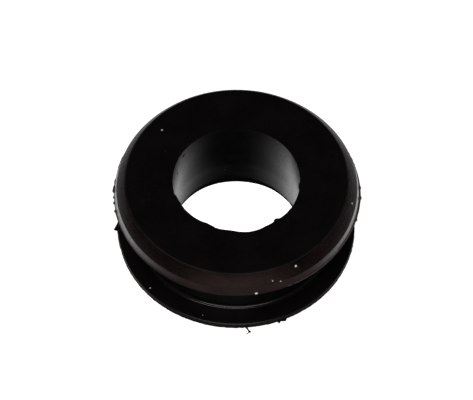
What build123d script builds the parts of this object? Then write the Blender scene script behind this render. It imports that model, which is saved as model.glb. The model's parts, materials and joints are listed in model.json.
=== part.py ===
"""Shift rod bushing: a rubber bush moulded in one piece, in millimetres.

The bush is a body of revolution about Z and stands on its base, at z = 0.
From the base up it has a thin lip, a groove that takes the edge of the lever's
eye, and a bevelled head. A straight bore for the rod's pin runs through it.
"""

import os

from build123d import *

# Bore and the wall between the bore and the groove's floor
bore_diameter = 10.0
wall_thickness = 2.85

# Groove that holds the lever's eye
groove_width = 4.5
groove_root_radius = 0.3

# Lip below the groove, bevelled underneath so that it can be pressed through the eye
lip_overhang = 1.58
lip_side_height = 0.5
base_bevel_height = 0.5
base_bevel_depth = 0.55

# Head above the groove, with a short side that tapers and a steep bevel up to the flat top
head_overhang = 1.78
head_side_height = 0.7
head_side_taper = 0.21
head_bevel_height = 1.0
head_bevel_depth = 0.67
bevel_foot_radius = 0.15
top_edge_radius = 0.15

# Radii of the section
bore_radius = bore_diameter / 2
groove_radius = bore_radius + wall_thickness
lip_radius = groove_radius + lip_overhang
base_radius = lip_radius - base_bevel_depth
head_radius = groove_radius + head_overhang
shoulder_radius = head_radius - head_side_taper
top_radius = shoulder_radius - head_bevel_depth

# Heights of the section
lip_top = base_bevel_height + lip_side_height
head_underside = lip_top + groove_width
bevel_foot = head_underside + head_side_height
bush_height = bevel_foot + head_bevel_height

# The bush: half of its section, turned about the bore's axis. The bore's rims, the head's
# lower edge and the edges of the lip are sharp, because the mould closed along them.
with BuildPart() as bushing:
    with BuildSketch(Plane.XZ) as half_section:
        with BuildLine() as outline:
            FilletPolyline(
                (bore_radius, 0),
                (base_radius, 0),
                (lip_radius, base_bevel_height),
                (lip_radius, lip_top),
                (groove_radius, lip_top),
                (groove_radius, head_underside),
                (head_radius, head_underside),
                (shoulder_radius, bevel_foot),
                (top_radius, bush_height),
                (bore_radius, bush_height),
                radius=(
                    0,
                    0,
                    0,
                    0,
                    groove_root_radius,
                    groove_root_radius,
                    0,
                    bevel_foot_radius,
                    top_edge_radius,
                    0,
                ),
                close=True,
            )
        make_face()
    revolve(axis=Axis.Z)

bushing.part.label = "bushing"
os.makedirs("parts", exist_ok=True)
export_step(bushing.part, "parts/bushing.step")
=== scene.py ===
import json
import math

import bmesh
import bpy
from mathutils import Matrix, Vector, noise


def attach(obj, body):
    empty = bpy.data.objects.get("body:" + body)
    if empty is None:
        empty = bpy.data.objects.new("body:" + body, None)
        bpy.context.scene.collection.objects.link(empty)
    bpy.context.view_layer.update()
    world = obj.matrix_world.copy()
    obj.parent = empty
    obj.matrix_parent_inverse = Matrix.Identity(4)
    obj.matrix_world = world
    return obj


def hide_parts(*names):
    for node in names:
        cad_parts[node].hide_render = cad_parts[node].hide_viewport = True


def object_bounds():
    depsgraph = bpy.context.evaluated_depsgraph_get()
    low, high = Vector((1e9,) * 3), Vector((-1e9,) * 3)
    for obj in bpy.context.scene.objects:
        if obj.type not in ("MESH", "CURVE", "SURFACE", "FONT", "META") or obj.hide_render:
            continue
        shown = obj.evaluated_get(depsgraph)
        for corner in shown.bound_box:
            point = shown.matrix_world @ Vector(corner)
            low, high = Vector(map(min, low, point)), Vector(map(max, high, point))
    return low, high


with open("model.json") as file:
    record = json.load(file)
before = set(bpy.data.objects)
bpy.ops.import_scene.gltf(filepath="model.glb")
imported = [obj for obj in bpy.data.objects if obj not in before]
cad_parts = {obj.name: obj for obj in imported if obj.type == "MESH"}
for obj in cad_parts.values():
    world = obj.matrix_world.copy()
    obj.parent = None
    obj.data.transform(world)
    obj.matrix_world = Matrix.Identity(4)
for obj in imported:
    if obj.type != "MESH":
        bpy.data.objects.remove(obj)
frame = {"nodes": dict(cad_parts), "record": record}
cadBox = [list(corner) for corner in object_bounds()]
mm = 0.001
print("frame loaded:", ", ".join(sorted(frame["nodes"])))


def ringPoint(azimuth, radius, height):
    # azimuth in degrees from +X, the rest in mm
    turn = math.radians(azimuth)
    return Vector((radius * math.cos(turn), radius * math.sin(turn), height)) * mm


def ringPlace(point):
    # the other way round: azimuth, radius and height of a point of the mesh
    azimuth = math.degrees(math.atan2(point.y, point.x)) % 360
    return azimuth, math.hypot(point.x, point.y) / mm, point.z / mm


def pickVerts(piece, wanted):
    mesh = bmesh.from_edit_mesh(piece.data)
    for vert in mesh.verts:
        vert.select = wanted(vert.co)
    mesh.select_flush_mode()
    bmesh.update_edit_mesh(piece.data)


def pickFaces(piece, wanted):
    mesh = bmesh.from_edit_mesh(piece.data)
    for face in mesh.faces:
        face.select = wanted(face)
    mesh.select_flush_mode()
    bmesh.update_edit_mesh(piece.data)


# The bush: half of its section is drawn as a wire, rounded, and turned about the bore
bush = {
    "headOverhang": 1.78,     # out from the groove's floor, mm as all sizes here
    "headBevelHeight": 0.97,
    "headBevelDepth": 0.7,
    "headSide": 0.73,
    "headSideTaper": 0.18,
    "grooveWidth": 4.5,
    "lipOverhang": 1.58,
    "lipSide": 0.5,
    "baseBevelHeight": 0.5,
    "baseBevelDepth": 0.55,
    "boreFlareHeight": 2.3,   # the bore opens a little towards the base
    "boreFlare": 0.055,
    "rootRound": 0.25,        # the groove's two inner corners
    "lipRound": 0.05,
    "topRound": 0.15,         # upper and lower edge of the head's bevel
    "footRound": 0.15,
    "bevelBulge": 0.06,       # the bevel is slightly convex
    "bevelRound": 4.5,
    "rimRound": 0.05,         # outer edge of the base
    "roundSegments": 5,
    "finFoot": 0.06,          # where the moulding flash starts, beside its edge
    "finStart": 0.01,         # its reach before it is drawn out
    "runLength": 0.32,        # longest step of a straight run
    "turnSteps": 784,
    "headLean": 0.08,         # how far the head stands out on its right, being a little out of round
    "leanRun": 0.9,           # over this much of the top it starts
    "wave": 0.03,             # how far the walls wander
    "waveLength": 3.5,
    "smoothAngle": 32,        # degrees up to which an edge is shaded smooth
    "mergeGap": 0.0001,       # doubles closer than this are merged
    "cornerGap": 0.001,       # a point this close to a corner is that corner
    "tipGap": 0.002,          # and one this close to the edge of the flash lies on it
}

boreMount = next(mount for mount in frame["record"]["mounts"] if mount["name"] == "bore")
boreRadius = boreMount["dims"]["r_mm"]
headRadius = cadBox[1][0] / mm
bushHeight = cadBox[1][2] / mm
shoulderRadius = headRadius - bush["headSideTaper"]
topRadius = shoulderRadius - bush["headBevelDepth"]
grooveRadius = headRadius - bush["headOverhang"]
footRadius = boreRadius + bush["boreFlare"]
lipRadius = grooveRadius + bush["lipOverhang"]
lipFoot = bush["baseBevelHeight"]
lipTop = lipFoot + bush["lipSide"]
headFoot = lipTop + bush["grooveWidth"]
bevelFoot = headFoot + bush["headSide"]


def bushSection():
    foot = bush["finFoot"]
    start = bush["finStart"]
    sideSlope = bush["headSideTaper"] / bush["headSide"]
    bevelOut = Vector((bush["headBevelHeight"], bush["headBevelDepth"])).normalized() * bush["bevelBulge"]
    return [  # radius, height, rounding
        (footRadius - start, 0, 0),
        (footRadius + foot, 0, 0),
        (lipRadius - bush["baseBevelDepth"], 0, bush["rimRound"]),
        (lipRadius - foot, lipFoot - foot, 0),
        (lipRadius + start, lipFoot, 0),
        (lipRadius, lipFoot + foot, 0),
        (lipRadius, lipTop, bush["lipRound"]),
        (grooveRadius, lipTop, bush["rootRound"]),
        (grooveRadius, headFoot, bush["rootRound"]),
        (headRadius - foot, headFoot, 0),
        (headRadius + start, headFoot, 0),
        (headRadius - sideSlope * foot, headFoot + foot, 0),
        (shoulderRadius, bevelFoot, bush["footRound"]),
        (
            (shoulderRadius + topRadius) / 2 + bevelOut.x,
            (bevelFoot + bushHeight) / 2 + bevelOut.y,
            bush["bevelRound"],
        ),
        (topRadius, bushHeight, bush["topRound"]),
        (boreRadius + foot, bushHeight, 0),
        (boreRadius - start, bushHeight, 0),
        (boreRadius, bushHeight - foot, 0),
        (boreRadius, bush["boreFlareHeight"], 0),
        (footRadius, foot, 0),
    ]


def drawWire(section):
    bpy.ops.object.select_all(action="DESELECT")
    bpy.ops.mesh.primitive_plane_add(size=mm)
    piece = bpy.context.active_object
    piece.name = "rubber_bush"
    bpy.ops.object.mode_set(mode="EDIT")
    bpy.ops.mesh.select_mode(type="VERT")
    bpy.ops.mesh.select_all(action="SELECT")
    bpy.ops.mesh.merge(type="CENTER")
    points = [Vector((radius, 0, height)) * mm for radius, height, rounding in section]
    bpy.ops.transform.translate(value=points[0])
    for before, after in zip(points, points[1:]):
        bpy.ops.mesh.extrude_region_move(TRANSFORM_OT_translate={"value": after - before})
    ends = (points[0], points[-1])
    pickVerts(piece, lambda place: min((place - end).length for end in ends) < bush["cornerGap"] * mm)
    bpy.ops.mesh.edge_face_add()
    return piece


def roundCorners(piece, section):
    count = len(section)
    for index, (radius, height, rounding) in enumerate(section):
        if not rounding:
            continue
        corner = Vector((radius, 0, height))
        before = Vector((section[index - 1][0], 0, section[index - 1][1]))
        after = Vector((section[(index + 1) % count][0], 0, section[(index + 1) % count][1]))
        turn = (corner - before).angle(after - corner)
        pickVerts(piece, lambda place: (place - corner * mm).length < bush["cornerGap"] * mm)
        bpy.ops.mesh.bevel(
            offset=rounding * math.tan(turn / 2) * mm,
            affect="VERTICES",
            segments=bush["roundSegments"],
            profile=0.5,
        )


def divideRuns(piece):
    mesh = bmesh.from_edit_mesh(piece.data)
    steps = {math.ceil(edge.calc_length() / (bush["runLength"] * mm)) for edge in mesh.edges}
    bpy.ops.mesh.select_mode(type="EDGE")
    for count in sorted(steps - {1}):
        mesh = bmesh.from_edit_mesh(piece.data)
        for edge in mesh.edges:
            edge.select = math.ceil(edge.calc_length() / (bush["runLength"] * mm)) == count
        mesh.select_flush_mode()
        bmesh.update_edit_mesh(piece.data)
        bpy.ops.mesh.subdivide(number_cuts=count - 1)
    bpy.ops.mesh.select_mode(type="VERT")


def turnBush(piece):
    bpy.ops.object.mode_set(mode="OBJECT")
    turn = piece.modifiers.new("turn", "SCREW")
    turn.axis = "Z"
    turn.angle = 2 * math.pi
    turn.steps = bush["turnSteps"]
    turn.render_steps = bush["turnSteps"]
    turn.use_merge_vertices = True
    turn.merge_threshold = bush["mergeGap"] * mm
    bpy.ops.object.modifier_apply(modifier=turn.name)
    bpy.ops.object.mode_set(mode="EDIT")
    bpy.ops.mesh.select_all(action="SELECT")
    bpy.ops.mesh.remove_doubles(threshold=bush["mergeGap"] * mm)
    bpy.ops.mesh.normals_make_consistent(inside=False)


section = bushSection()
rubberBush = drawWire(section)
roundCorners(rubberBush, section)
divideRuns(rubberBush)
turnBush(rubberBush)
print("bush turned in", bush["turnSteps"], "steps")

# Moulding flash on four edges. A mark is a run of azimuth in degrees and reach in mm, for the
# tags, tears and nubs that stand out from the ragged rest.
rag = {
    "fineShare": 0.6,         # of the finer raggedness, beside the coarse
    "fineScale": 2.7,         # how much finer it is
    "markShare": 0.3,         # what the marks keep of both
}
flash = [
    {
        "name": "lipFlash", "radius": lipRadius, "height": lipFoot, "outwards": 1,
        "reach": 0.015, "ragged": 0.03, "spacing": 0.35, "droop": 0.0,
        "marks": [
            [(174.6, 0.02), (177.4, 0.11), (179.2, 0.23), (180.4, 0.33), (181.2, 0.42), (181.7, 0.09)],
            [(181.7, 0.09), (184.0, 0.06), (192.0, 0.03)],
            [(226.0, 0.0), (226.6, 0.07), (227.1, 0.0)],
            [(234.1, 0.0), (234.8, 0.07), (235.3, 0.0)],
            [(289.8, 0.0), (290.7, 0.25), (291.3, 0.04), (293.9, 0.2), (294.9, 0.0)],
        ],
    },
    {
        "name": "headFlash", "radius": headRadius, "height": headFoot, "outwards": 1,
        "reach": 0.03, "ragged": 0.05, "spacing": 0.4, "droop": 0.15,
        "marks": [
            [(0.0, 0.08), (1.6, 0.07), (2.7, 0.16), (4.0, 0.07), (9.0, 0.06), (14.0, 0.03)],
            [(175.4, 0.02), (176.3, 0.1), (178.9, 0.14), (179.6, 0.12), (180.3, 0.02), (181.6, 0.02)],
            [(181.6, 0.02), (182.7, 0.12), (183.6, 0.02), (184.8, 0.02), (185.8, 0.13), (186.8, 0.02)],
            [(186.8, 0.02), (189.4, 0.02), (190.5, 0.15), (191.8, 0.02)],
            [(196.0, 0.02), (206.0, 0.01), (328.0, 0.01), (336.0, 0.04)],
            [(336.0, 0.04), (343.6, 0.06), (344.5, 0.16), (345.6, 0.07)],
            [(345.6, 0.07), (355.8, 0.09), (357.1, 0.18), (358.2, 0.1), (360.0, 0.08)],
        ],
    },
    {
        "name": "boreFlash", "radius": boreRadius, "height": bushHeight, "outwards": -1,
        "reach": -0.05, "ragged": 0.03, "spacing": 0.5, "droop": 0.1,
        "marks": [
            [
                (196.0, 0.08), (206.0, 0.14), (214.0, 0.15), (226.0, 0.22), (234.0, 0.3), (240.0, 0.4),
                (246.0, 0.36), (250.0, 0.28), (254.0, 0.26), (262.0, 0.3), (266.0, 0.29), (270.0, 0.22),
                (274.0, 0.16), (282.0, 0.07), (290.0, 0.07), (298.0, 0.13), (306.0, 0.13), (309.5, 0.3),
                (311.0, 0.28), (313.5, 0.09), (322.0, 0.02), (328.0, 0.02),
            ],
            [(350.0, 0.03), (354.8, 0.1), (356.6, 0.09), (357.2, 0.0), (359.5, 0.02)],
        ],
    },
    {
        "name": "footFlash", "radius": footRadius, "height": 0, "outwards": -1,
        "reach": 0.0, "ragged": 0.01, "spacing": 0.5, "droop": 0.0,
        "marks": [
            [
                (34.0, 0.0), (44.0, 0.05), (53.0, 0.08), (63.0, 0.13), (73.0, 0.18), (82.0, 0.21),
                (97.0, 0.21), (105.0, 0.18), (115.0, 0.14), (125.0, 0.1), (134.0, 0.07), (142.0, 0.04),
                (150.0, 0.0),
            ],
        ],
    },
]


def markReach(marks, azimuth):
    for mark in marks:
        for (start, low), (end, high) in zip(mark, mark[1:]):
            if start <= azimuth < end:
                return low + (high - low) * (azimuth - start) / (end - start)
    return None


def drawFlash(piece, fin):
    mesh = bmesh.from_edit_mesh(piece.data)
    tip = fin["radius"] + fin["outwards"] * bush["finStart"]
    for vert in mesh.verts:
        azimuth, radius, height = ringPlace(vert.co)
        if max(abs(radius - tip), abs(height - fin["height"])) > bush["tipGap"]:
            continue
        grain = ringPoint(azimuth, fin["radius"], fin["height"]) / (fin["spacing"] * mm)
        fine = rag["fineShare"] * noise.noise(grain * rag["fineScale"])
        ragged = fin["ragged"] * (noise.noise(grain) + fine)
        reach = markReach(fin["marks"], azimuth)
        reach = fin["reach"] + ragged if reach is None else reach + rag["markShare"] * ragged
        reach = max(reach, -bush["finStart"])
        away = Vector((vert.co.x, vert.co.y, 0)).normalized() * fin["outwards"]
        vert.co += (away * reach - Vector((0, 0, fin["droop"] * max(reach, 0)))) * mm
    bmesh.update_edit_mesh(piece.data)


def leanHead(piece):
    mesh = bmesh.from_edit_mesh(piece.data)
    for vert in mesh.verts:
        azimuth, radius, height = ringPlace(vert.co)
        run = radius - topRadius + bush["leanRun"]
        if height < headFoot - bush["finFoot"] or run < 0:
            continue
        share = min(run / (bush["headBevelDepth"] + bush["leanRun"]), 1)
        side = max(math.cos(math.radians(azimuth)), 0) ** 2
        vert.co += ringPoint(azimuth, bush["headLean"] * share * side, 0)
    bmesh.update_edit_mesh(piece.data)


for fin in flash:
    drawFlash(rubberBush, fin)
leanHead(rubberBush)
print("flash drawn out on", ", ".join(fin["name"] for fin in flash))

# A strand of torn flash that hangs off the lip, with a knob and a curled end
strand = {
    "azimuth": 274.7,
    "halfWidth": 0.65,        # degrees of the lip that it grows from
    "steps": [                # mm out, along the edge and up, then the scale of the end
        (0.09, 0.06, -0.05, 0.6),
        (0.1, 0.09, -0.09, 0.75),
        (0.06, 0.06, -0.07, 1.8),
        (0.05, 0.03, -0.03, 1.2),
        (0.03, -0.04, -0.02, 0.5),
        (0.05, -0.16, -0.05, 0.85),
        (0.04, -0.13, -0.04, 0.7),
    ],
}


def growStrand(piece):
    away = ringPoint(strand["azimuth"], 1, 0) / mm
    along = Vector((-away.y, away.x, 0))

    def onTip(face):
        azimuth, radius, height = ringPlace(face.calc_center_median())
        nearTip = abs(height - lipFoot) < bush["finFoot"] and radius > lipRadius - bush["finFoot"]
        return nearTip and abs(azimuth - strand["azimuth"]) < strand["halfWidth"]

    bpy.ops.mesh.select_mode(type="FACE")
    pickFaces(piece, onTip)
    end = ringPoint(strand["azimuth"], lipRadius, lipFoot)
    for out, side, up, scale in strand["steps"]:
        move = (away * out + along * side + Vector((0, 0, up))) * mm
        bpy.ops.mesh.extrude_region_move(TRANSFORM_OT_translate={"value": move})
        end = end + move
        bpy.ops.transform.resize(value=(scale, scale, scale), center_override=end)
    bpy.ops.mesh.select_mode(type="VERT")


growStrand(rubberBush)
bpy.ops.object.mode_set(mode="OBJECT")


def settleWalls(piece):
    # a rubber moulding is never quite round or flat
    wave = bpy.data.textures.new("wallWave", "CLOUDS")
    wave.noise_scale = bush["waveLength"] * mm
    wave.noise_depth = 1
    settle = piece.modifiers.new("wallWave", "DISPLACE")
    settle.texture = wave
    settle.texture_coords = "LOCAL"
    settle.strength = bush["wave"] * mm
    settle.mid_level = 0.5
    bpy.ops.object.modifier_apply(modifier=settle.name)


settleWalls(rubberBush)
bpy.ops.object.shade_smooth_by_angle(angle=math.radians(bush["smoothAngle"]))
print("strand grown and walls settled")

# Shader groups that the finishes share. A range is where an effect starts, and where it is full or over.
surface = {
    "grainNoise": {"detail": 4.0, "roughness": 0.65},
    "bloomNoise": {"detail": 3.0, "roughness": 0.55},
    "bloomScale": 0.06,       # as a share of the grain's
    "grainRange": (0.3, 0.7),
    "scuffNoise": {"scale": 1.0, "detail": 3.0, "roughness": 0.6},
    "scuffBreaks": 5.0,       # how often a line breaks on its way round
    "scuffRange": (0.42, 0.68),
    "dustRange": (0.05, 0.16),    # share of a cell over which its speck fades
    "dustCells": (0.8, 1.0),      # the cells that have a speck
    "fleckNoise": {"scale": 9000.0, "detail": 2.0, "roughness": 0.5},
    "fleckUneven": 0.9,
    "fleckRange": (1.1, 1.6),
}


def newGroup(name, inputs, outputs):
    group = bpy.data.node_groups.new(name, "ShaderNodeTree")
    for label, kind, value in inputs:
        socket = group.interface.new_socket(label, in_out="INPUT", socket_type=kind)
        if value is not None:
            socket.default_value = value
    for label in outputs:
        group.interface.new_socket(label, in_out="OUTPUT", socket_type="NodeSocketFloat")
    return group, group.nodes.new("NodeGroupInput"), group.nodes.new("NodeGroupOutput")


def addNode(tree, kind, **values):
    node = tree.nodes.new(kind)
    for label, value in values.items():
        setattr(node, label, value)
    return node


def addMath(tree, operation, first, second):
    node = addNode(tree, "ShaderNodeMath", operation=operation)
    for socket, value in zip(node.inputs, (first, second)):
        if isinstance(value, (int, float)):
            socket.default_value = value
        else:
            tree.links.new(value, socket)
    return node.outputs["Value"]


def addRange(tree, value, low, high, toLow=0.0, toHigh=1.0):
    node = addNode(tree, "ShaderNodeMapRange", interpolation_type="SMOOTHSTEP")
    tree.links.new(value, node.inputs["Value"])
    for label, number in (("From Min", low), ("From Max", high), ("To Min", toLow), ("To Max", toHigh)):
        node.inputs[label].default_value = number
    return node.outputs["Result"]


def addNoise(tree, coords, scale, detail, roughness):
    node = addNode(tree, "ShaderNodeTexNoise")
    tree.links.new(coords, node.inputs["Vector"])
    if isinstance(scale, (int, float)):
        node.inputs["Scale"].default_value = scale
    else:
        tree.links.new(scale, node.inputs["Scale"])
    node.inputs["Detail"].default_value = detail
    node.inputs["Roughness"].default_value = roughness
    return node.outputs["Fac"]


def makeMouldGrain():
    # fine grain of the mould, and the slow blotches of bloom on the rubber
    group, inputs, outputs = newGroup(
        "mouldGrain",
        [("Coords", "NodeSocketVector", None), ("Scale", "NodeSocketFloat", 9000.0)],
        ["Grain", "Bloom"],
    )
    coords, scale = inputs.outputs["Coords"], inputs.outputs["Scale"]
    grain = addNoise(group, coords, scale, **surface["grainNoise"])
    slow = addMath(group, "MULTIPLY", scale, surface["bloomScale"])
    bloom = addNoise(group, coords, slow, **surface["bloomNoise"])
    group.links.new(addRange(group, grain, *surface["grainRange"]), outputs.inputs["Grain"])
    group.links.new(addRange(group, bloom, *surface["grainRange"]), outputs.inputs["Bloom"])
    return group


def makeRingScuffs():
    # fine lines that run round the bush, broken along their length
    group, inputs, outputs = newGroup(
        "ringScuffs",
        [("Coords", "NodeSocketVector", None), ("Pitch", "NodeSocketFloat", 12000.0)],
        ["Scuffs"],
    )
    split = addNode(group, "ShaderNodeSeparateXYZ")
    group.links.new(inputs.outputs["Coords"], split.inputs["Vector"])
    flat = addNode(group, "ShaderNodeCombineXYZ")
    group.links.new(split.outputs["X"], flat.inputs["X"])
    group.links.new(split.outputs["Y"], flat.inputs["Y"])
    radius = addNode(group, "ShaderNodeVectorMath", operation="LENGTH")
    group.links.new(flat.outputs["Vector"], radius.inputs[0])
    heading = addNode(group, "ShaderNodeVectorMath", operation="NORMALIZE")
    group.links.new(flat.outputs["Vector"], heading.inputs[0])
    across = addMath(group, "SUBTRACT", split.outputs["Z"], radius.outputs["Value"])
    across = addMath(group, "MULTIPLY", across, inputs.outputs["Pitch"])
    along = addNode(group, "ShaderNodeSeparateXYZ")
    group.links.new(heading.outputs["Vector"], along.inputs["Vector"])
    place = addNode(group, "ShaderNodeCombineXYZ")
    group.links.new(across, place.inputs["X"])
    for source, target in (("X", "Y"), ("Y", "Z")):
        breaks = addMath(group, "MULTIPLY", along.outputs[source], surface["scuffBreaks"])
        group.links.new(breaks, place.inputs[target])
    lines = addNoise(group, place.outputs["Vector"], **surface["scuffNoise"])
    group.links.new(addRange(group, lines, *surface["scuffRange"]), outputs.inputs["Scuffs"])
    return group


def makeStrayDust():
    # specks of dust far smaller than the flecks
    group, inputs, outputs = newGroup(
        "strayDust",
        [("Coords", "NodeSocketVector", None), ("Scale", "NodeSocketFloat", 2500.0)],
        ["Dust"],
    )
    cells = addNode(group, "ShaderNodeTexVoronoi", feature="F1")
    group.links.new(inputs.outputs["Coords"], cells.inputs["Vector"])
    group.links.new(inputs.outputs["Scale"], cells.inputs["Scale"])
    near = addRange(group, cells.outputs["Distance"], *surface["dustRange"], 1.0, 0.0)
    chosen = addNode(group, "ShaderNodeSeparateColor")
    group.links.new(cells.outputs["Color"], chosen.inputs["Color"])
    few = addRange(group, chosen.outputs["Red"], *surface["dustCells"])
    group.links.new(addMath(group, "MULTIPLY", near, few), outputs.inputs["Dust"])
    return group


def makeFleck():
    # one speck at a given place, with an uneven edge
    group, inputs, outputs = newGroup(
        "fleck",
        [
            ("Coords", "NodeSocketVector", None),
            ("Place", "NodeSocketVector", None),
            ("Size", "NodeSocketFloat", 0.0001),
        ],
        ["Fleck"],
    )
    away = addNode(group, "ShaderNodeVectorMath", operation="DISTANCE")
    group.links.new(inputs.outputs["Coords"], away.inputs[0])
    group.links.new(inputs.outputs["Place"], away.inputs[1])
    share = addMath(group, "DIVIDE", away.outputs["Value"], inputs.outputs["Size"])
    uneven = addNoise(group, inputs.outputs["Coords"], **surface["fleckNoise"])
    uneven = addMath(group, "MULTIPLY", uneven, surface["fleckUneven"])
    share = addMath(group, "ADD", share, uneven)
    group.links.new(addRange(group, share, *surface["fleckRange"], 1.0, 0.0), outputs.inputs["Fleck"])
    return group


mouldGrain = makeMouldGrain()
ringScuffs = makeRingScuffs()
strayDust = makeStrayDust()
fleck = makeFleck()
print("shader groups made")

# The finishes, one for each part of the surface. A fleck or pit is azimuth, radius, height and size
# in mm. Gloss is where it starts and is full, from 0 head on to 1 edge on, and its weight there. Lean
# is what each metre to the right adds to that facing. toneRise and glossRise are heights in mm with a
# share of the tone or gloss, and glossAlong is the same along X.
dustColour = (0.42, 0.38, 0.34, 1)
pitColour = (0.002, 0.002, 0.002, 1)
glossIor = 1.5
grainGloss = 0.7              # share of the gloss left where the grain is strongest
finishes = {
    "mattTop": {
        "dark": (0.0019, 0.0016, 0.0016, 1), "light": (0.0042, 0.0033, 0.0032, 1),
        "grainShare": 0.35, "bloomShare": 0.45, "scuffShare": 0.1, "dustShare": 0.03,
        "grainScale": 7000.0, "roughness": (0.7, 0.9), "specular": 0.01, "tint": (1, 1, 1, 1),
        "gloss": (0.5, 0.9, 0.1), "lean": 0.0, "glossRoughness": 0.5,
        "grainHeight": 0.02, "scuffHeight": 0.002,
        "flecks": [(140.6, 7.62, 7.2, 0.075)],
    },
    "scuffedBevel": {
        "dark": (0.0004, 0.0003, 0.0003, 1), "light": (0.0055, 0.0037, 0.0032, 1),
        "grainShare": 0.5, "bloomShare": 0.3, "scuffShare": 0.5, "dustShare": 0.05,
        "grainScale": 9000.0, "roughness": (0.1, 0.3), "specular": 0.048, "tint": (1, 0.62, 0.57, 1),
        "gloss": (0.6, 0.85, 0.22), "lean": 2.0, "glossRoughness": 0.25,
        "grainHeight": 0.005, "scuffHeight": 0.004,
        "flecks": [
            (300.5, 9.07, 6.87, 0.1), (291.2, 9.45, 6.23, 0.07), (287.5, 9.33, 6.45, 0.05),
            (348.8, 9.22, 6.62, 0.1), (351.2, 8.92, 6.97, 0.045),
        ],
    },
    # painted highlight: a lighter colour along the rounding of the head's upper edge stands in for its
    # highlight
    "paintedEdgeHighlight": {
        "dark": (0.0013, 0.0011, 0.001, 1), "light": (0.0095, 0.0075, 0.0072, 1),
        "grainShare": 0.45, "bloomShare": 0.75, "scuffShare": 0.2, "dustShare": 0.05,
        "grainScale": 7000.0, "roughness": (0.3, 0.5), "specular": 0.03, "tint": (1, 0.75, 0.7, 1),
        "gloss": (0.6, 0.85, 0.15), "lean": 0.0, "glossRoughness": 0.3,
        "grainHeight": 0.006, "scuffHeight": 0.004,
    },
    "satinSide": {
        "dark": (0.004, 0.0022, 0.0022, 1), "light": (0.0125, 0.0074, 0.0074, 1),
        "grainShare": 0.3, "bloomShare": 0.3, "scuffShare": 0.6, "dustShare": 0.03,
        "grainScale": 9000.0, "roughness": (0.26, 0.4), "specular": 0.036, "tint": (1, 0.62, 0.62, 1),
        "gloss": (0.31, 0.62, 1.05), "lean": -1.5, "glossRoughness": 0.15,
        "grainHeight": 0.006, "scuffHeight": 0.005,
        "glossRise": [(5.5, 0.4), (5.72, 0.68), (5.98, 1.0)],
        "flecks": [(279.3, 9.61, 5.57, 0.12)],
    },
    "lipSide": {
        "dark": (0.002, 0.0014, 0.0012, 1), "light": (0.0092, 0.0066, 0.0057, 1),
        "grainShare": 0.3, "bloomShare": 0.5, "scuffShare": 0.5, "dustShare": 0.03,
        "grainScale": 9000.0, "roughness": (0.26, 0.4), "specular": 0.015, "tint": (1, 0.75, 0.7, 1),
        "gloss": (0.48, 0.78, 0.42), "lean": -2.7, "glossRoughness": 0.3,
        "grainHeight": 0.006, "scuffHeight": 0.005,
    },
    "grooveRubber": {
        "dark": (0.002, 0.0017, 0.0015, 1), "light": (0.005, 0.0041, 0.0036, 1),
        "grainShare": 0.35, "bloomShare": 0.4, "scuffShare": 0.3, "dustShare": 0.02,
        "grainScale": 8000.0, "roughness": (0.3, 0.4), "specular": 0.03, "tint": (1, 1, 1, 1),
        "gloss": (-0.2, -0.1, 0.42), "lean": 0.0, "glossRoughness": 0.16,
        "grainHeight": 0.004, "scuffHeight": 0.002,
        "glossAlong": [(-5.0, 0.15), (-4.0, 0.85), (-1.5, 1.0), (0.8, 0.9), (2.5, 0.5), (5.0, 0.15)],
        "flecks": [(221.6, 9.09, 1.0, 0.065), (252.8, 8.97, 1.0, 0.035)],
    },
    # painted shade: the groove's rubber made darker on its inner wall, which lies under the head's
    # overhang
    "grooveWallPaintedShade": {
        "dark": (0.0009, 0.0008, 0.0008, 1), "light": (0.0024, 0.002, 0.002, 1),
        "grainShare": 0.2, "bloomShare": 0.4, "scuffShare": 0.3, "dustShare": 0.02,
        "grainScale": 8000.0, "roughness": (0.2, 0.26), "specular": 0.11, "tint": (1, 1, 1, 1),
        "gloss": (0.5, 0.8, 0.05), "lean": 0.0, "glossRoughness": 0.3,
        "grainHeight": 0.0015, "scuffHeight": 0.001,
    },
    "boreWall": {
        "dark": (0.0015, 0.0015, 0.0014, 1), "light": (0.0095, 0.0094, 0.0091, 1),
        "toneRise": [(0.0, 0.5), (0.8, 0.95), (2.4, 1.0), (4.0, 0.95), (5.5, 0.55), (7.2, 0.38)],
        "grainShare": 0.35, "bloomShare": 0.4, "scuffShare": 0.2, "dustShare": 0.02,
        "grainScale": 8000.0, "roughness": (0.22, 0.36), "specular": 0.0, "tint": (1, 1, 1, 1),
        "gloss": (0.42, 0.93, 1.6), "lean": 8.0, "glossRoughness": 0.28,
        "grainHeight": 0.005, "scuffHeight": 0.003,
        "glossRise": [(0.0, 0.7), (1.0, 0.85), (2.6, 1.0), (4.0, 1.0), (5.8, 0.75), (7.2, 0.5)],
        "flecks": [(100.7, 5.0, 1.55, 0.03)],
        "pits": [(146.5, 5.0, 6.63, 0.17), (158.6, 5.0, 5.55, 0.14), (38.2, 5.0, 6.03, 0.08)],
    },
    "thinFlash": {
        "dark": (0.02, 0.017, 0.015, 1), "light": (0.05, 0.044, 0.038, 1),
        "grainShare": 0.4, "bloomShare": 0.45, "scuffShare": 0.15, "dustShare": 0.03,
        "grainScale": 7000.0, "roughness": (0.6, 0.8), "specular": 0.01, "tint": (1, 1, 1, 1),
        "gloss": (0.6, 0.95, 0.1), "lean": 0.0, "glossRoughness": 0.5,
        "grainHeight": 0.005, "scuffHeight": 0.002,
    },
    "mattBase": {
        "dark": (0.0018, 0.0016, 0.0016, 1), "light": (0.0045, 0.0037, 0.0036, 1),
        "grainShare": 0.4, "bloomShare": 0.45, "scuffShare": 0.15, "dustShare": 0.03,
        "grainScale": 7000.0, "roughness": (0.6, 0.8), "specular": 0.01, "tint": (1, 1, 1, 1),
        "gloss": (0.6, 0.95, 0.1), "lean": 0.0, "glossRoughness": 0.5,
        "grainHeight": 0.015, "scuffHeight": 0.002,
    },
}


def placeGroup(tree, group, coords, **values):
    node = addNode(tree, "ShaderNodeGroup", node_tree=group)
    tree.links.new(coords, node.inputs["Coords"])
    for label, value in values.items():
        node.inputs[label].default_value = value
    return node.outputs


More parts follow.
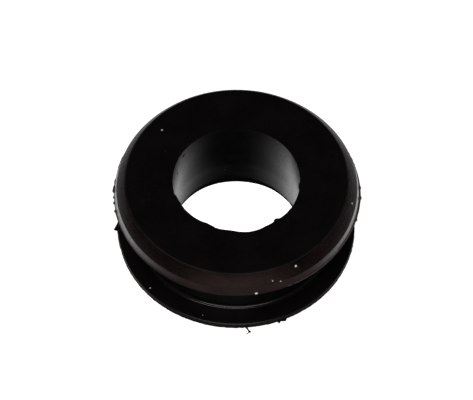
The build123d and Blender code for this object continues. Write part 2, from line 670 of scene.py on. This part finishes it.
def fleckMask(tree, coords, flecks):
    mask = None
    for azimuth, radius, height, size in flecks:
        place = ringPoint(azimuth, radius, height)
        spot = placeGroup(tree, fleck, coords, Place=place, Size=size * mm)["Fleck"]
        mask = spot if mask is None else addMath(tree, "MAXIMUM", mask, spot)
    return mask


def mixColour(tree, mask, first, second):
    node = addNode(tree, "ShaderNodeMix", data_type="RGBA")
    tree.links.new(mask, node.inputs["Factor"])
    sockets = [socket for socket in node.inputs if socket.type == "RGBA"]
    for socket, colour in zip(sockets, (first, second)):
        if isinstance(colour, tuple):
            socket.default_value = colour
        else:
            tree.links.new(colour, socket)
    return next(socket for socket in node.outputs if socket.type == "RGBA")


def addRise(tree, place, stops):
    # a share that changes with the place along an axis, through the given stops in mm
    start = stops[0][0]
    span = stops[-1][0] - start
    ramp = addNode(tree, "ShaderNodeValToRGB")
    along = addMath(tree, "DIVIDE", addMath(tree, "SUBTRACT", place, start * mm), span * mm)
    tree.links.new(along, ramp.inputs["Fac"])
    elements = ramp.color_ramp.elements
    while len(elements) < len(stops):
        elements.new(1.0)
    for element, (stop, share) in zip(elements, stops):
        element.position = (stop - start) / span
        element.color = (share, share, share, 1)
    return ramp.outputs["Color"]


def makeFinish(name, finish):
    material = bpy.data.materials.new(name)
    material.use_nodes = True
    tree = material.node_tree
    shader = tree.nodes["Principled BSDF"]
    coords = addNode(tree, "ShaderNodeTexCoord").outputs["Object"]
    grain = placeGroup(tree, mouldGrain, coords, Scale=finish["grainScale"])
    scuffs = placeGroup(tree, ringScuffs, coords)["Scuffs"]
    dust = placeGroup(tree, strayDust, coords)["Dust"]

    tone = addMath(tree, "MULTIPLY", grain["Grain"], finish["grainShare"])
    tone = addMath(tree, "ADD", tone, addMath(tree, "MULTIPLY", grain["Bloom"], finish["bloomShare"]))
    tone = addMath(tree, "ADD", tone, addMath(tree, "MULTIPLY", scuffs, finish["scuffShare"]))
    split = addNode(tree, "ShaderNodeSeparateXYZ")
    tree.links.new(coords, split.inputs["Vector"])
    if "toneRise" in finish:
        tone = addMath(tree, "MULTIPLY", tone, addRise(tree, split.outputs["Z"], finish["toneRise"]))
    colour = mixColour(tree, tone, finish["dark"], finish["light"])
    colour = mixColour(tree, addMath(tree, "MULTIPLY", dust, finish["dustShare"]), colour, dustColour)
    roughness = addRange(tree, grain["Grain"], 0.0, 1.0, *finish["roughness"])
    pits = fleckMask(tree, coords, finish.get("pits", []))
    if pits is not None:
        colour = mixColour(tree, pits, colour, pitColour)
    flecks = fleckMask(tree, coords, finish.get("flecks", []))
    if flecks is not None:
        colour = mixColour(tree, flecks, colour, dustColour)
        roughness = addMath(tree, "MAXIMUM", roughness, flecks)
    tree.links.new(colour, shader.inputs["Base Color"])
    tree.links.new(roughness, shader.inputs["Roughness"])
    shader.inputs["Specular IOR Level"].default_value = finish["specular"]
    shader.inputs["Specular Tint"].default_value = finish["tint"]

    # rubber is dull head on and shines where it is seen along the surface
    facing = addNode(tree, "ShaderNodeLayerWeight").outputs["Facing"]
    facing = addMath(tree, "ADD", facing, addMath(tree, "MULTIPLY", split.outputs["X"], finish["lean"]))
    low, high, weight = finish["gloss"]
    gloss = addMath(tree, "MINIMUM", addRange(tree, facing, low, high, 0.0, weight), 1.0)
    gloss = addMath(tree, "MULTIPLY", gloss, addRange(tree, grain["Grain"], 0.0, 1.0, 1.0, grainGloss))
    for label, axis in (("glossRise", "Z"), ("glossAlong", "X")):
        if label in finish:
            gloss = addMath(tree, "MULTIPLY", gloss, addRise(tree, split.outputs[axis], finish[label]))
    if pits is not None:
        gloss = addMath(tree, "MULTIPLY", gloss, addRange(tree, pits, 0.0, 1.0, 1.0, 0.0))
    tree.links.new(gloss, shader.inputs["Coat Weight"])
    shader.inputs["Coat Roughness"].default_value = finish["glossRoughness"]
    shader.inputs["Coat IOR"].default_value = glossIor

    relief = addMath(tree, "MULTIPLY", grain["Grain"], finish["grainHeight"])
    relief = addMath(tree, "ADD", relief, addMath(tree, "MULTIPLY", scuffs, finish["scuffHeight"]))
    bump = addNode(tree, "ShaderNodeBump")
    bump.inputs["Strength"].default_value = 1.0
    bump.inputs["Distance"].default_value = mm
    tree.links.new(relief, bump.inputs["Height"])
    tree.links.new(bump.outputs["Normal"], shader.inputs["Normal"])
    return material


# Where each finish goes. Reaches are in mm from the edge, and a slope is 1 on a face that looks up.
limits = {
    "rimSlope": 0.05,         # more than this beside the bore's upper edge is flash, not wall
    "boreSlope": 0.6,
    # where the painted edge highlight lies
    "edgeHighlightHeight": 0.07,
    "edgeHighlightReach": 0.09,
    "edgeHighlightSlope": (0.7, 0.998),
    "topHeight": 0.12,
    "topSlope": 0.85,
    "bevelSlope": 0.2,
    "flashReach": 0.02,
    "sideReach": 0.05,
    "sideSlope": -0.7,
    "lipReach": 0.02,
    "wallSlope": 0.1,
}


def finishOf(face):
    radius, height = ringPlace(face.calc_center_median())[1:]
    slope = face.normal.z
    onRim = height > bushHeight - bush["finFoot"] and radius < boreRadius + bush["finFoot"]
    if onRim and abs(slope) > limits["rimSlope"]:
        return "mattTop"
    if radius < footRadius and abs(slope) < limits["boreSlope"]:
        return "boreWall"
    # the rounding at the head's upper edge gets the painted highlight
    onEdge = height > bushHeight - limits["edgeHighlightHeight"] and radius > topRadius - limits["edgeHighlightReach"]
    if onEdge and limits["edgeHighlightSlope"][0] < slope < limits["edgeHighlightSlope"][1]:
        return "paintedEdgeHighlight"
    if height > bushHeight - limits["topHeight"] and slope > limits["topSlope"]:
        return "mattTop"
    if height > bevelFoot and slope > limits["bevelSlope"]:
        return "scuffedBevel"
    if radius > headRadius + limits["flashReach"] and height > lipTop:
        return "thinFlash"
    if height < lipFoot + bush["finFoot"]:
        return "mattBase"
    onSide = height > headFoot and radius > shoulderRadius - limits["sideReach"]
    if onSide and slope > limits["sideSlope"]:
        return "satinSide"
    if radius > lipRadius - limits["lipReach"] and height < lipTop - bush["lipRound"]:
        return "lipSide"
    # the groove's inner wall takes the darker copy with the painted shade
    onWall = lipTop + bush["rootRound"] < height < headFoot - bush["rootRound"]
    return "grooveWallPaintedShade" if onWall and abs(slope) < limits["wallSlope"] else "grooveRubber"


def dressBush(piece):
    bpy.ops.object.mode_set(mode="EDIT")
    bpy.ops.mesh.select_mode(type="FACE")
    for index, (name, finish) in enumerate(finishes.items()):
        piece.data.materials.append(makeFinish(name, finish))
        pickFaces(piece, lambda face: finishOf(face) == name)
        piece.active_material_index = index
        bpy.ops.object.material_slot_assign()
    bpy.ops.object.mode_set(mode="OBJECT")


dressBush(rubberBush)
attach(rubberBush, "root")
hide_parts("bushing")
print("bush dressed in", ", ".join(finishes))

# Floor, world and lamps
studio = {
    "floorSize": 2.0,         # m
    "floorDrop": 0.00002,     # m below the base
    "floorColour": (0.8, 0.8, 0.8, 1),
    "floorGlow": 0.9,         # what camera and reflections see of it besides its own shade
    "floorReach": (0.02, 0.085),  # m from the bush over which that fades out of the reflections
    "floorFar": 0.2,          # shade of the floor beyond, as a share of its colour
    "shadeReach": (0.0105, 0.017),    # m from the axis over which the bush's shade on it ends
    "shadeBehind": (0.002, 0.012),    # m along Y, where the shade lies out to backReach
    "backReach": (0.022, 0.034),
    "shade": 0.7,             # how dark it is
    "horizon": 0.5,           # strength of the backdrop low down
    "zenith": 0.04,           # and overhead
    "band": (0.1, 0.42),      # sine of the elevation over which it falls off
    "front": (-0.5, 0.0),     # Y of the direction over which it fades towards the front
    "frontShare": 0.1,        # what is left of it there
    "right": (0.0, 0.9),      # X of the direction over which it gets brighter to the right
    "rightGain": 2.6,
    "lamps": [
        # name, azimuth, elevation, distance m, width m, height m, power W
        ("frontBox", 270, 10, 0.5, 0.6, 0.17, 2.45),
        ("topBox", 250, 72, 0.6, 0.4, 0.4, 2.9),
    ],
}


def rayMask(tree, labels):
    path = addNode(tree, "ShaderNodeLightPath")
    mask = path.outputs[labels[0]]
    for label in labels[1:]:
        mask = addMath(tree, "MAXIMUM", mask, path.outputs[label])
    return mask


def layFloor():
    bpy.ops.object.select_all(action="DESELECT")
    bpy.ops.mesh.primitive_plane_add(size=studio["floorSize"], location=(0, 0, -studio["floorDrop"]))
    floor = bpy.context.active_object
    floor.name = "floor"
    material = bpy.data.materials.new("paleFloor")
    material.use_nodes = True
    tree = material.node_tree
    shader = tree.nodes["Principled BSDF"]
    shader.inputs["Roughness"].default_value = 1.0
    shader.inputs["Specular IOR Level"].default_value = 0.0
    shader.inputs["Emission Color"].default_value = (1, 1, 1, 1)
    coords = addNode(tree, "ShaderNodeTexCoord").outputs["Object"]
    split = addNode(tree, "ShaderNodeSeparateXYZ")
    tree.links.new(coords, split.inputs["Vector"])
    length = addNode(tree, "ShaderNodeVectorMath", operation="LENGTH")
    tree.links.new(coords, length.inputs[0])
    away = length.outputs["Value"]
    near = addRange(tree, away, *studio["floorReach"], 1.0, 0.0)
    around = addRange(tree, away, *studio["shadeReach"], studio["shade"], 0.0)
    behind = addRange(tree, split.outputs["Y"], *studio["shadeBehind"], 0.0, studio["shade"])
    behind = addMath(tree, "MULTIPLY", behind, addRange(tree, away, *studio["backReach"], 1.0, 0.0))
    shade = addMath(tree, "MAXIMUM", around, behind)
    shade = addMath(tree, "MULTIPLY", shade, addMath(tree, "GREATER_THAN", away, lipRadius * mm))
    lit = addMath(tree, "MULTIPLY", near, addMath(tree, "SUBTRACT", 1.0, shade))
    farColour = tuple(channel * studio["floorFar"] for channel in studio["floorColour"])
    tree.links.new(mixColour(tree, lit, farColour, studio["floorColour"]), shader.inputs["Base Color"])
    mirrored = addMath(tree, "MULTIPLY", rayMask(tree, ("Is Glossy Ray", "Is Transmission Ray")), lit)
    seen = addMath(tree, "MAXIMUM", rayMask(tree, ("Is Camera Ray",)), mirrored)
    glow = addMath(tree, "MULTIPLY", seen, studio["floorGlow"])
    tree.links.new(glow, shader.inputs["Emission Strength"])
    # seen from below the floor is clear, so that the base shows
    clear = addNode(tree, "ShaderNodeBsdfTransparent")
    back = addNode(tree, "ShaderNodeNewGeometry")
    mix = addNode(tree, "ShaderNodeMixShader")
    tree.links.new(back.outputs["Backfacing"], mix.inputs["Fac"])
    tree.links.new(shader.outputs["BSDF"], mix.inputs[1])
    tree.links.new(clear.outputs["BSDF"], mix.inputs[2])
    tree.links.new(mix.outputs["Shader"], tree.nodes["Material Output"].inputs["Surface"])
    floor.data.materials.append(material)


def makeWorld():
    world = bpy.data.worlds.new("studioWorld")
    bpy.context.scene.world = world
    world.use_nodes = True
    tree = world.node_tree
    background = tree.nodes["Background"]
    direction = addNode(tree, "ShaderNodeTexCoord").outputs["Generated"]
    split = addNode(tree, "ShaderNodeSeparateXYZ")
    tree.links.new(direction, split.inputs["Vector"])
    level = addRange(tree, split.outputs["Z"], *studio["band"], studio["horizon"], studio["zenith"])
    fade = addRange(tree, split.outputs["Y"], *studio["front"], studio["frontShare"], 1.0)
    level = addMath(tree, "MULTIPLY", level, fade)
    gain = addRange(tree, split.outputs["X"], *studio["right"], 1.0, studio["rightGain"])
    level = addMath(tree, "MULTIPLY", level, gain)
    seen = rayMask(tree, ("Is Camera Ray",))
    tree.links.new(addMath(tree, "MAXIMUM", level, seen), background.inputs["Strength"])
    background.inputs["Color"].default_value = (1, 1, 1, 1)


def hangLamps():
    for name, azimuth, elevation, distance, width, height, power in studio["lamps"]:
        rise = math.radians(elevation)
        reach = distance / mm
        place = ringPoint(azimuth, reach * math.cos(rise), reach * math.sin(rise))
        bpy.ops.object.light_add(type="AREA", location=place)
        lamp = bpy.context.active_object
        lamp.name = name
        lamp.rotation_euler = place.to_track_quat("Z", "Y").to_euler()
        lamp.data.shape = "RECTANGLE"
        lamp.data.size = width
        lamp.data.size_y = height
        lamp.data.energy = power


layFloor()
makeWorld()
hangLamps()
print("studio set up")

# Camera, fitted to the photograph's outlines
view = {
    "aim": (0.011, 0, 4.469),     # mm
    "elevation": 55.85,           # degrees
    "distance": 300,              # mm
    "lens": 288.8,                # mm
    "sensor": 36.0,               # mm
    "clip": (0.01, 10),           # m
}


def placeCamera():
    rise = math.radians(view["elevation"])
    aim = Vector(view["aim"]) * mm
    back = Vector((0, -math.cos(rise), math.sin(rise))) * view["distance"] * mm
    bpy.ops.object.camera_add(location=aim + back, rotation=(math.pi / 2 - rise, 0, 0))
    camera = bpy.context.active_object
    camera.name = "photoCamera"
    camera.data.sensor_fit = "HORIZONTAL"
    camera.data.sensor_width = view["sensor"]
    camera.data.lens = view["lens"]
    camera.data.clip_start, camera.data.clip_end = view["clip"]
    bpy.context.scene.camera = camera


placeCamera()
bpy.context.scene.view_settings.view_transform = "Standard"
